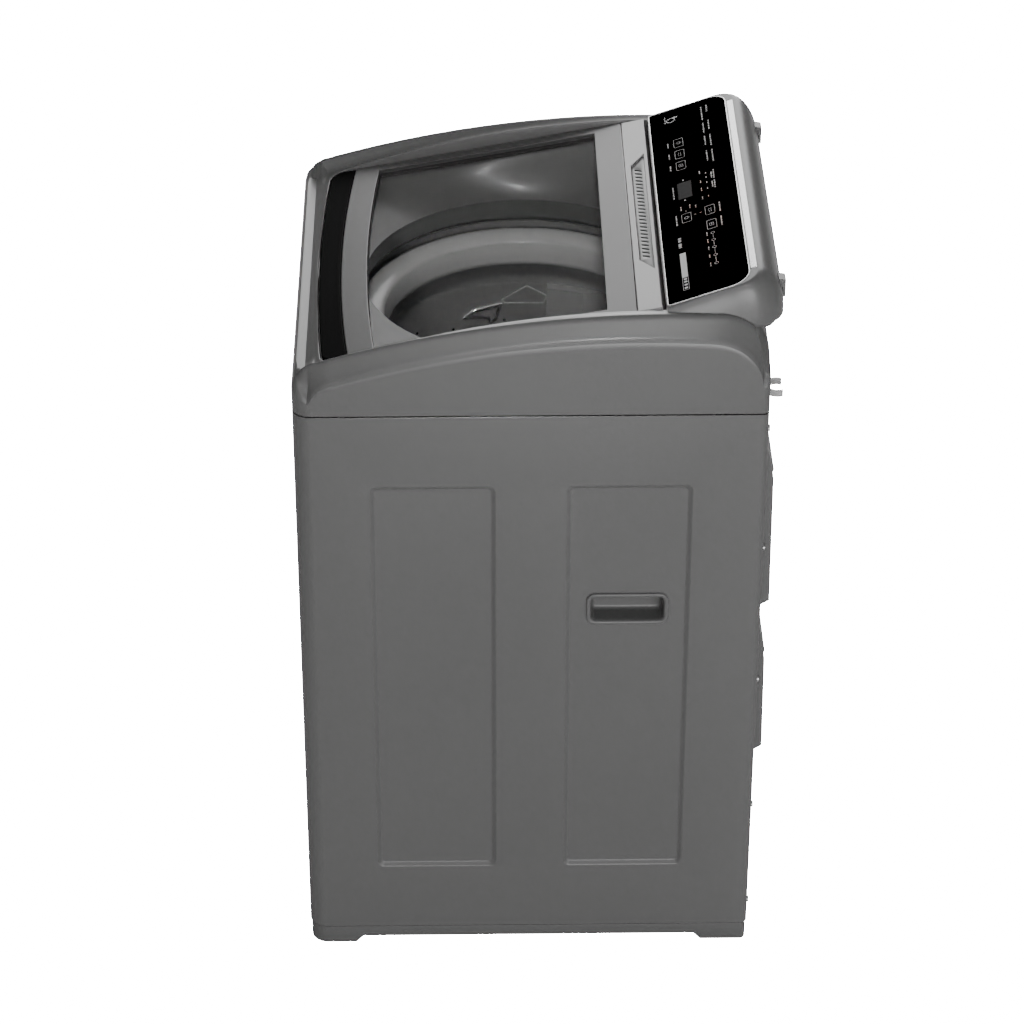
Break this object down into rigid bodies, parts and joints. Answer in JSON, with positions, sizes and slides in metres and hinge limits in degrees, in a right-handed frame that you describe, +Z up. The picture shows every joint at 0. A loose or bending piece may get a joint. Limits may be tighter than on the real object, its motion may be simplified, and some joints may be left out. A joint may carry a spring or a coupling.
{
  "type": "top load washing machine",
  "caption": "Top-loading washing machine with a steel cabinet, arched plastic deck, tilted glazed lid, sloped key console, hanging tub, perforated basket and pulsator drive.",
  "frame": {"origin": "on the floor under the middle of the outline", "axes": "+Z up, -Y out of the front, +X to the right-hand side seen from the front"},
  "size_m": [0.55, 0.57, 0.9403],
  "materials": {
    "cabinet_paint": "satin powder coat",
    "plinth_plastic": "fine spark texture",
    "grey_plastic": "semi-gloss moulded",
    "lid_plastic": "silver-grey moulded",
    "panel_black": "piano black",
    "display_dark": "dark tinted",
    "silver_trim": "satin silver",
    "smoked_glass": "smoked, polished",
    "tub_plastic": "natural polypropylene",
    "ring_plastic": "pale grey moulded",
    "impeller_plastic": "pale grey moulded",
    "light_plastic": "light grey moulded",
    "black_plastic": "moulded",
    "foot_rubber": "matt",
    "belt_rubber": "matt, fabric-backed",
    "basket_steel": "brushed stainless",
    "zinc_steel": "zinc plated",
    "bearing_steel": "ground",
    "spring_steel": "oiled spring wire",
    "cast_aluminium": "as cast",
    "circuit_board": "solder mask"
  },
  "bodies": {
    "cabinet": {"cabinet_wrap": "cabinet_paint", "rear_panel": "cabinet_paint", "base_frame": "plinth_plastic", "corner_brackets": "zinc_steel", "side_handle_left": "grey_plastic", "side_handle_right": "grey_plastic", "top_deck": "grey_plastic", "console_housing": "grey_plastic", "control_panel": "panel_black", "panel_trim": "silver_trim", "display_window": "display_dark", "hose_hooks": "grey_plastic", "hose_clip": "light_plastic", "inlet_valve": "light_plastic", "water_inlet_box": "light_plastic", "drain_outlet": "black_plastic", "cable_gland": "black_plastic", "control_board": "circuit_board", "pressure_switch": "light_plastic", "lid_switch": "black_plastic", "hinge_pins": "zinc_steel", "suspension_rods": "zinc_steel", "suspension_springs": "spring_steel", "cabinet_screws": "zinc_steel", "rear_feet": "foot_rubber"},
    "lid": {"lid_frame": "lid_plastic", "lid_window": "smoked_glass", "lid_handle": "panel_black", "lid_rear_plate": "lid_plastic", "vent_grille": "grey_plastic"},
    "tub": {"outer_tub": "tub_plastic", "tub_top_ring": "tub_plastic", "upper_bearing": "bearing_steel", "lower_bearing": "bearing_steel", "shaft_seal": "foot_rubber", "gearcase_housing": "cast_aluminium", "motor_bracket": "zinc_steel", "motor_housing": "zinc_steel", "drive_belt": "belt_rubber", "drain_valve": "light_plastic"},
    "basket": {"basket_drum": "basket_steel", "balance_ring": "ring_plastic", "basket_hub": "ring_plastic", "spin_tube": "bearing_steel", "lint_filter": "light_plastic"},
    "impeller": {"impeller": "impeller_plastic", "impeller_cap": "silver_trim", "drive_shaft": "bearing_steel", "drive_pulley": "cast_aluminium"},
    "motor_rotor": {"motor_shaft": "bearing_steel", "motor_pulley": "cast_aluminium"},
    "foot_front_left": {"foot_front_left": "foot_rubber"},
    "foot_front_right": {"foot_front_right": "foot_rubber"},
    "key_1": {"key_1": "panel_black"},
    "key_2": {"key_2": "panel_black"},
    "key_3": {"key_3": "panel_black"},
    "key_4": {"key_4": "panel_black"},
    "key_5": {"key_5": "panel_black"},
    "key_6": {"key_6": "panel_black"}
  },
  "joints": [
    {"name": "lid_hinge", "type": "hinge", "parent": "cabinet", "child": "lid", "pos_m": [0, 0.1315, 0.8915], "axis": [-1, 0, 0], "range_deg": [0, 105]},
    {"name": "tub_suspension", "type": "slide", "parent": "cabinet", "child": "tub", "axis": [0, 0, 1], "range_m": [-0.012, 0.012], "stiffness_N_per_m": 12000, "springref_m": 0.0175, "deforming": ["suspension_springs"]},
    {"name": "basket_spin", "type": "hinge", "parent": "tub", "child": "basket", "pos_m": [0, -0.012, 0.5], "axis": [0, 0, 1], "continuous": true},
    {"name": "impeller_turn", "type": "hinge", "parent": "tub", "child": "impeller", "pos_m": [0, -0.012, 0.25], "axis": [0, 0, 1], "continuous": true},
    {"name": "motor_spin", "type": "hinge", "parent": "tub", "child": "motor_rotor", "pos_m": [0.13, -0.107, 0.15], "axis": [0, 0, 1], "continuous": true},
    {"name": "key_1_press", "type": "slide", "parent": "cabinet", "child": "key_1", "axis": [0, 0.3338, -0.9426], "range_m": [0, 0.0006], "stiffness_N_per_m": 1500},
    {"name": "key_2_press", "type": "slide", "parent": "cabinet", "child": "key_2", "axis": [0, 0.3338, -0.9426], "range_m": [0, 0.0006], "stiffness_N_per_m": 1500},
    {"name": "key_3_press", "type": "slide", "parent": "cabinet", "child": "key_3", "axis": [0, 0.3338, -0.9426], "range_m": [0, 0.0006], "stiffness_N_per_m": 1500},
    {"name": "key_4_press", "type": "slide", "parent": "cabinet", "child": "key_4", "axis": [0, 0.3338, -0.9426], "range_m": [0, 0.0006], "stiffness_N_per_m": 1500},
    {"name": "key_5_press", "type": "slide", "parent": "cabinet", "child": "key_5", "axis": [0, 0.3338, -0.9426], "range_m": [0, 0.0006], "stiffness_N_per_m": 1500},
    {"name": "key_6_press", "type": "slide", "parent": "cabinet", "child": "key_6", "axis": [0, 0.3338, -0.9426], "range_m": [0, 0.0006], "stiffness_N_per_m": 1500},
    {"name": "foot_front_left_height", "type": "slide", "parent": "cabinet", "child": "foot_front_left", "axis": [0, 0, 1], "range_m": [-0.015, 0]},
    {"name": "foot_front_right_height", "type": "slide", "parent": "cabinet", "child": "foot_front_right", "axis": [0, 0, 1], "range_m": [-0.015, 0]}
  ],
  "couplings": [
    {"joint": "motor_spin", "follows": "impeller_turn", "ratio": 3.8117}
  ]
}
